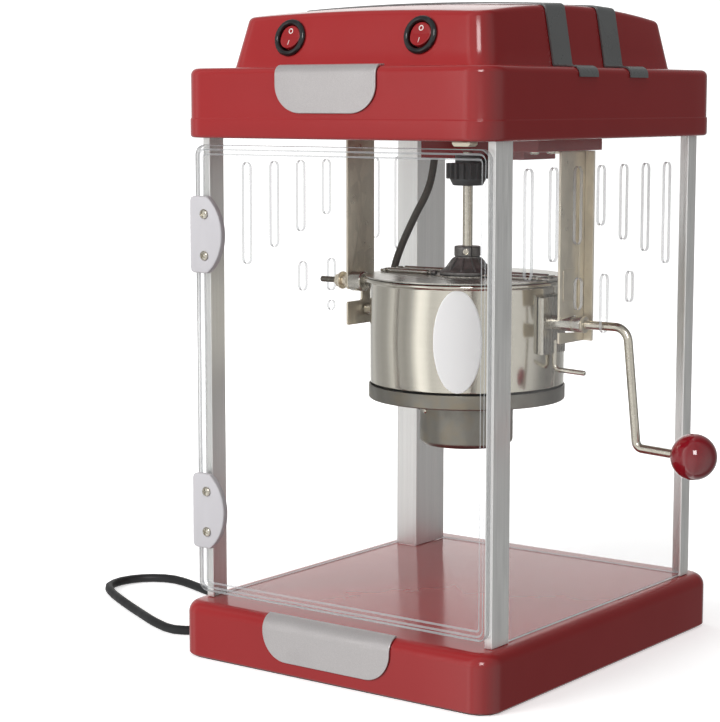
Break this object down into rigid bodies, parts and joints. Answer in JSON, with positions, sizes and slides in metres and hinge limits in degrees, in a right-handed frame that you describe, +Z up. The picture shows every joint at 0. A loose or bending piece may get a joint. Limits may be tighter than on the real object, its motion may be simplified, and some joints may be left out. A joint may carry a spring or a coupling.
{
  "type": "popcorn maker",
  "caption": "Countertop popcorn maker: clear cabinet with hinged door, tilting motor-stirred kettle with crank, red base and canopy, rocker switches, mains cord.",
  "frame": {"origin": "on the table, under the middle of the base", "axes": "+Z up; -Y towards the door, the front; +X towards the crank"},
  "size_m": [0.4916, 0.3836, 0.4359],
  "materials": {
    "red_gloss_plastic": "deep red, glossy",
    "black_plastic": "black, satin",
    "black_rubber": "black, matt",
    "anodised_aluminium": "satin anodised",
    "clear_acrylic": "clear, polished",
    "grey_plastic": "grey, glossy",
    "silver_plastic": "silver grey, satin",
    "red_rocker_plastic": "bright red, glossy",
    "zinc_plated_steel": "zinc plated, warm grey",
    "light_grey_plastic": "light grey, satin",
    "brushed_steel": "brushed, bright",
    "heated_steel": "darkened by heat, satin",
    "cast_hub": "dark grey casting",
    "charcoal_plastic": "charcoal, matt",
    "red_ball_plastic": "deep red, polished",
    "grey_sleeve": "woven heat-resistant sleeve"
  },
  "bodies": {
    "cabinet": {"base_bottom": "black_plastic", "base_shell": "red_gloss_plastic", "canopy_shell": "red_gloss_plastic", "canopy_underside": "red_gloss_plastic", "clamp_bolt": "zinc_plated_steel", "cord_strain_relief": "black_rubber", "door_catch": "zinc_plated_steel", "foot_front_left": "black_rubber", "foot_front_right": "black_rubber", "foot_rear_left": "black_rubber", "foot_rear_right": "black_rubber", "gear_motor": "heated_steel", "hanger_left": "zinc_plated_steel", "hanger_right": "zinc_plated_steel", "hinge_leaf_lower": "zinc_plated_steel", "hinge_leaf_upper": "zinc_plated_steel", "hinge_pin_lower": "brushed_steel", "hinge_pin_upper": "brushed_steel", "mains_cord": "black_rubber", "mains_cord_coil": "black_rubber", "mains_plug": "black_plastic", "plate_lower": "silver_plastic", "plate_upper": "silver_plastic", "post_front_left": "anodised_aluminium", "post_front_right": "anodised_aluminium", "post_rear_left": "anodised_aluminium", "post_rear_right": "anodised_aluminium", "rear_panel": "clear_acrylic", "side_panel_left": "clear_acrylic", "side_panel_right": "clear_acrylic", "stripe_front": "grey_plastic", "stripe_rear": "grey_plastic", "switch_bezel_left": "black_plastic", "switch_bezel_right": "black_plastic", "wiring_duct": "anodised_aluminium"},
    "door": {"door_panel": "clear_acrylic", "hinge_plate_upper": "light_grey_plastic", "hinge_plate_lower": "light_grey_plastic", "hinge_screw_upper_a": "brushed_steel", "hinge_screw_upper_b": "brushed_steel", "hinge_screw_lower_a": "brushed_steel", "hinge_screw_lower_b": "brushed_steel"},
    "kettle": {"kettle_pot": "brushed_steel", "kettle_skirt": "heated_steel", "heater_element": "heated_steel", "heater_housing": "heated_steel", "lid_bridge": "brushed_steel", "shaft_hub": "cast_hub", "crank_rod": "brushed_steel", "ball_knob": "red_ball_plastic", "pivot_ear_left": "brushed_steel", "pivot_ear_right": "brushed_steel", "kettle_cable": "grey_sleeve"},
    "lid_front": {"lid_flap_front": "brushed_steel"},
    "lid_rear": {"lid_flap_rear": "brushed_steel"},
    "switch_left": {"rocker_left": "red_rocker_plastic"},
    "switch_right": {"rocker_right": "red_rocker_plastic"},
    "stirrer": {"stirrer": "brushed_steel", "driven_gear": "charcoal_plastic"},
    "pinion": {"motor_pinion": "charcoal_plastic"}
  },
  "joints": [
    {"name": "door_swing", "type": "hinge", "parent": "cabinet", "child": "door", "pos_m": [-0.1153, -0.1315, 0.193], "axis": [0, 0, -1], "range_deg": [0, 105]},
    {"name": "kettle_tilt", "type": "hinge", "parent": "cabinet", "child": "kettle", "pos_m": [0.005, 0.0075, 0.2257], "axis": [1, 0, 0], "range_deg": [0, 120], "deforming": ["kettle_cable"]},
    {"name": "lid_front_lift", "type": "hinge", "parent": "kettle", "child": "lid_front", "pos_m": [0.005, -0.0021, 0.255], "axis": [-1, 0, 0], "range_deg": [0, 70]},
    {"name": "lid_rear_lift", "type": "hinge", "parent": "kettle", "child": "lid_rear", "pos_m": [0.005, 0.0171, 0.255], "axis": [1, 0, 0], "range_deg": [0, 70]},
    {"name": "stirrer_spin", "type": "hinge", "parent": "kettle", "child": "stirrer", "pos_m": [0.005, 0.0075, 0.255], "axis": [0, 0, 1], "continuous": true},
    {"name": "pinion_spin", "type": "hinge", "parent": "cabinet", "child": "pinion", "pos_m": [0.005, 0.02842, 0.325], "axis": [0, 0, 1], "continuous": true},
    {"name": "switch_left_rock", "type": "hinge", "parent": "cabinet", "child": "switch_left", "pos_m": [-0.0511, -0.11204, 0.41146], "axis": [1, 0, 0], "range_deg": [0, 16]},
    {"name": "switch_right_rock", "type": "hinge", "parent": "cabinet", "child": "switch_right", "pos_m": [0.0511, -0.11204, 0.41146], "axis": [1, 0, 0], "range_deg": [0, 16]}
  ],
  "couplings": [
    {"joint": "pinion_spin", "follows": "stirrer_spin", "ratio": -2}
  ]
}
